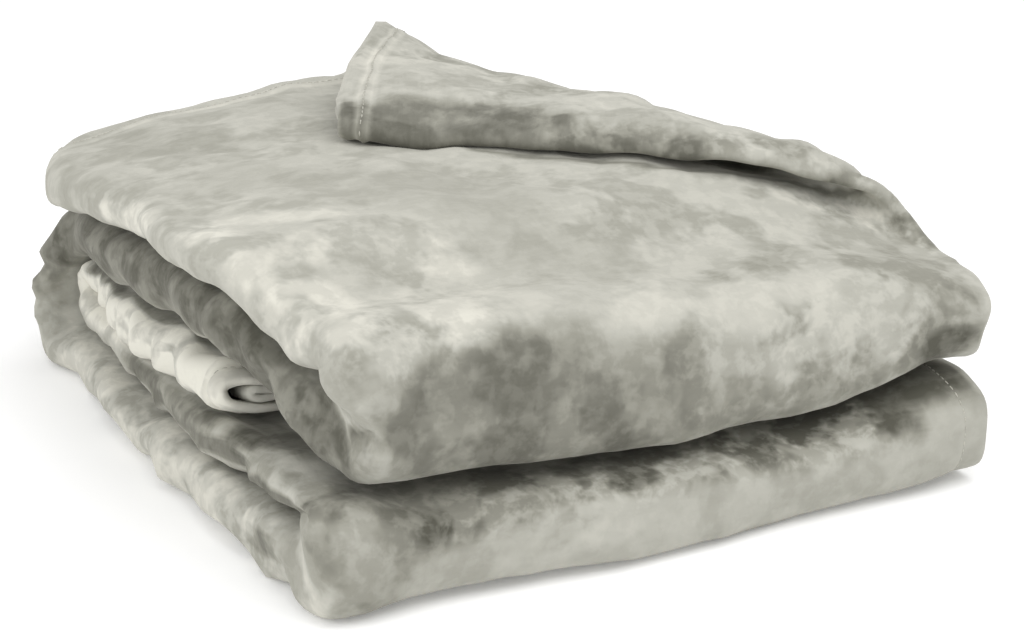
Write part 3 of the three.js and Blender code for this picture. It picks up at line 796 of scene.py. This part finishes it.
UNTOUCHED_LEAN, UNTOUCHED_CRUSH = 0.5, 0.3
STROKE_ENDS, STROKE_FULL = 1.35, 0.55    # a stroke fades out between these shares of its reach
stroked_lean_shade_light = np.full(len(cloth.vertices), UNTOUCHED_LEAN)
crush_values = np.full(len(cloth.vertices), UNTOUCHED_CRUSH)
for x0, y0, x1, y1, reach, stroke_lean_shade_light, crush_there in STROKES:
    start, end = seen_at(x0, y0), seen_at(x1, y1)
    way = end - start
    f = np.clip((on_flat - start) @ way / max(way @ way, 1e-6), 0, 1)
    off = np.linalg.norm(on_flat - start - f[:, None] * way, axis=1)
    share = ease(STROKE_ENDS * reach, STROKE_FULL * reach, off)
    stroked_lean_shade_light = mix(stroked_lean_shade_light, stroke_lean_shade_light, share)
    crush_values = mix(crush_values, crush_there, share)
for name, values in (("nap_shade_and_light", stroked_lean_shade_light), ("crush", crush_values)):
    cloth.attributes.new(name, "FLOAT", "POINT").data.foreach_set("value", values)

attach(blanket, "root")
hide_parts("blanket")

# The hems are sewn with a row of lockstitch in polyester thread of the fleece's colour. Each stitch
# shows as a short plump thread on either face of the cloth, half sunk in the pile.
STITCH, STITCH_PITCH = 3.3, 4.4    # the part that shows of each, and from one to the next
THREAD = 0.45                      # half its thickness, plumped by the pile
STITCH_LINE = HEM_LINES.index(1.0)    # the grid line that runs along the stitching, from each edge
half_there = np.empty((len(rows), len(columns)))
half_there[row_of, column_of] = thickness / 2

bead = bmesh.new()
lengthways = Matrix.Rotation(math.pi / 2, 4, "Y")
bmesh.ops.create_uvsphere(bead, u_segments=6, v_segments=4, radius=1, matrix=lengthways)
bead.verts.index_update()
bead_points = np.array([vert.co for vert in bead.verts]) * (STITCH / 2, THREAD, THREAD)
# each face is listed from its lowest vertex, so that the mesh is the same on every run
bead_faces = []
for face in bead.faces:
    numbers = [vert.index for vert in face.verts]
    first = numbers.index(min(numbers))
    bead_faces.append(numbers[first:] + numbers[:first])
bead.free()
bead_sides = np.array([face for face in sorted(bead_faces) if len(face) == 4])
bead_ends = np.array([face for face in sorted(bead_faces) if len(face) == 3])


def sew(line, beside, half):
    """One row of stitches on both faces of the cloth, along a line of its grid."""
    reached = np.concatenate([[0], np.cumsum(np.linalg.norm(np.diff(line, axis=0), axis=1))])
    places = np.arange(STITCH_PITCH, reached[-1] - STITCH, STITCH_PITCH)

    def at_stitches(values, shift=0.0):
        return np.stack([np.interp(places + shift, reached, each) for each in values.T], axis=1)

    way = at_stitches(line, STITCH / 2) - at_stitches(line, -STITCH / 2)
    way /= np.linalg.norm(way, axis=1)[:, None]
    out = np.cross(way, at_stitches(beside))
    out /= np.linalg.norm(out, axis=1)[:, None]
    frames = np.stack([way, np.cross(out, way), out], axis=1)
    shape = np.einsum("pk,skc->spc", bead_points, frames)
    to_face = (out * at_stitches(half[:, None]))[:, None]
    middle = at_stitches(line)[:, None]
    return np.concatenate([middle + to_face + shape, middle - to_face + shape])


across = slice(STITCH_LINE, len(columns) - STITCH_LINE)
along = slice(STITCH_LINE, len(rows) - STITCH_LINE)
sewn = []
for row in (STITCH_LINE, len(rows) - 1 - STITCH_LINE):
    beside = folded[row + 1, across] - folded[row - 1, across]
    sewn.append(sew(folded[row, across], beside, half_there[row, across]))
for column in (STITCH_LINE, len(columns) - 1 - STITCH_LINE):
    beside = folded[along, column + 1] - folded[along, column - 1]
    sewn.append(sew(folded[along, column], beside, half_there[along, column]))
sewn = (np.concatenate(sewn) - np.array([*MIDDLE, 0])) * MM
starts = np.arange(len(sewn))[:, None, None] * len(bead_points)
stitch_faces = (starts + bead_sides).reshape(-1, 4).tolist()
stitch_faces += (starts + bead_ends).reshape(-1, 3).tolist()
seam = bpy.data.meshes.new("hem_stitches")
seam.from_pydata(sewn.reshape(-1, 3), [], stitch_faces)
seam.polygons.foreach_set("use_smooth", [True] * len(seam.polygons))
stitches = bpy.data.objects.new("hem_stitches", seam)
bpy.context.collection.objects.link(stitches)

# Spun polyester sewing thread: a soft satin gloss, with the tone changing from strand to strand. The
# real strands are about 0.4 mm apart along the thread, and are drawn coarser so that they show.
TWIST = 0.0012                     # metres
thread = bpy.data.materials.new("spun_polyester_thread")
thread.use_nodes = True
tree = thread.node_tree
shader = tree.nodes["Principled BSDF"]
shader.inputs["Roughness"].default_value = 0.65
shader.inputs["Specular IOR Level"].default_value = 0.35
in_place = add_node(tree, "ShaderNodeTexCoord")
twist = add_node(
    tree, "ShaderNodeTexNoise", None,
    {"Scale": 1 / TWIST, "Detail": 1}, {"Vector": in_place.outputs["Object"]},
)
strands = add_node(tree, "ShaderNodeValToRGB", None, None, {"Fac": twist.outputs[0]})
strands.color_ramp.elements[0].position = 0.35
strands.color_ramp.elements[0].color = socket_value("#9C9B91")
strands.color_ramp.elements[1].position = 0.65
strands.color_ramp.elements[1].color = socket_value("#BDBBB0")
tree.links.new(strands.outputs[0], shader.inputs["Base Color"])
seam.materials.append(thread)
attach(stitches, "root")

# A plain white table top, lit a little from below as a studio's shooting table is, under plain studio
# light: a large soft light above and to the front right, a fill from the left, and a bright room.
FLOOR_HALF_WIDTH = 4               # metres
floor_mesh = bpy.data.meshes.new("floor")
top = bmesh.new()
bmesh.ops.create_grid(top, x_segments=1, y_segments=1, size=FLOOR_HALF_WIDTH)
top.to_mesh(floor_mesh)
top.free()
floor = bpy.data.objects.new("floor", floor_mesh)
bpy.context.collection.objects.link(floor)
white = bpy.data.materials.new("matt_white_laminate")
white.use_nodes = True
shader = white.node_tree.nodes["Principled BSDF"]
shader.inputs["Base Color"].default_value = socket_value("#F7F7F7")
shader.inputs["Roughness"].default_value = 0.9
shader.inputs["Emission Color"].default_value = (1, 1, 1, 1)
shader.inputs["Emission Strength"].default_value = 0.12
floor_mesh.materials.append(white)

world = bpy.data.worlds.new("studio")
bpy.context.scene.world = world
world.use_nodes = True
room = world.node_tree.nodes["Background"]
room.inputs["Color"].default_value = (1, 1, 1, 1)
room.inputs["Strength"].default_value = 0.84
bpy.context.scene.view_settings.view_transform = "Standard"

LIT_PLACE = Vector((0, 0, 0.08))   # the middle of the stack
LIGHTS = [
    # name, place, width in metres, watts
    ("soft_box", (0.4, -0.8, 1.7), 1.6, 18),
    ("fill", (-1.8, -0.4, 0.9), 1.2, 11),
]
for name, place, width, power in LIGHTS:
    light = bpy.data.lights.new(name, "AREA")
    light.size = width
    light.energy = power
    light_object = bpy.data.objects.new(name, light)
    bpy.context.collection.objects.link(light_object)
    turn = (LIT_PLACE - Vector(place)).to_track_quat("-Z", "Y").to_matrix().to_4x4()
    light_object.matrix_world = Matrix.Translation(place) @ turn
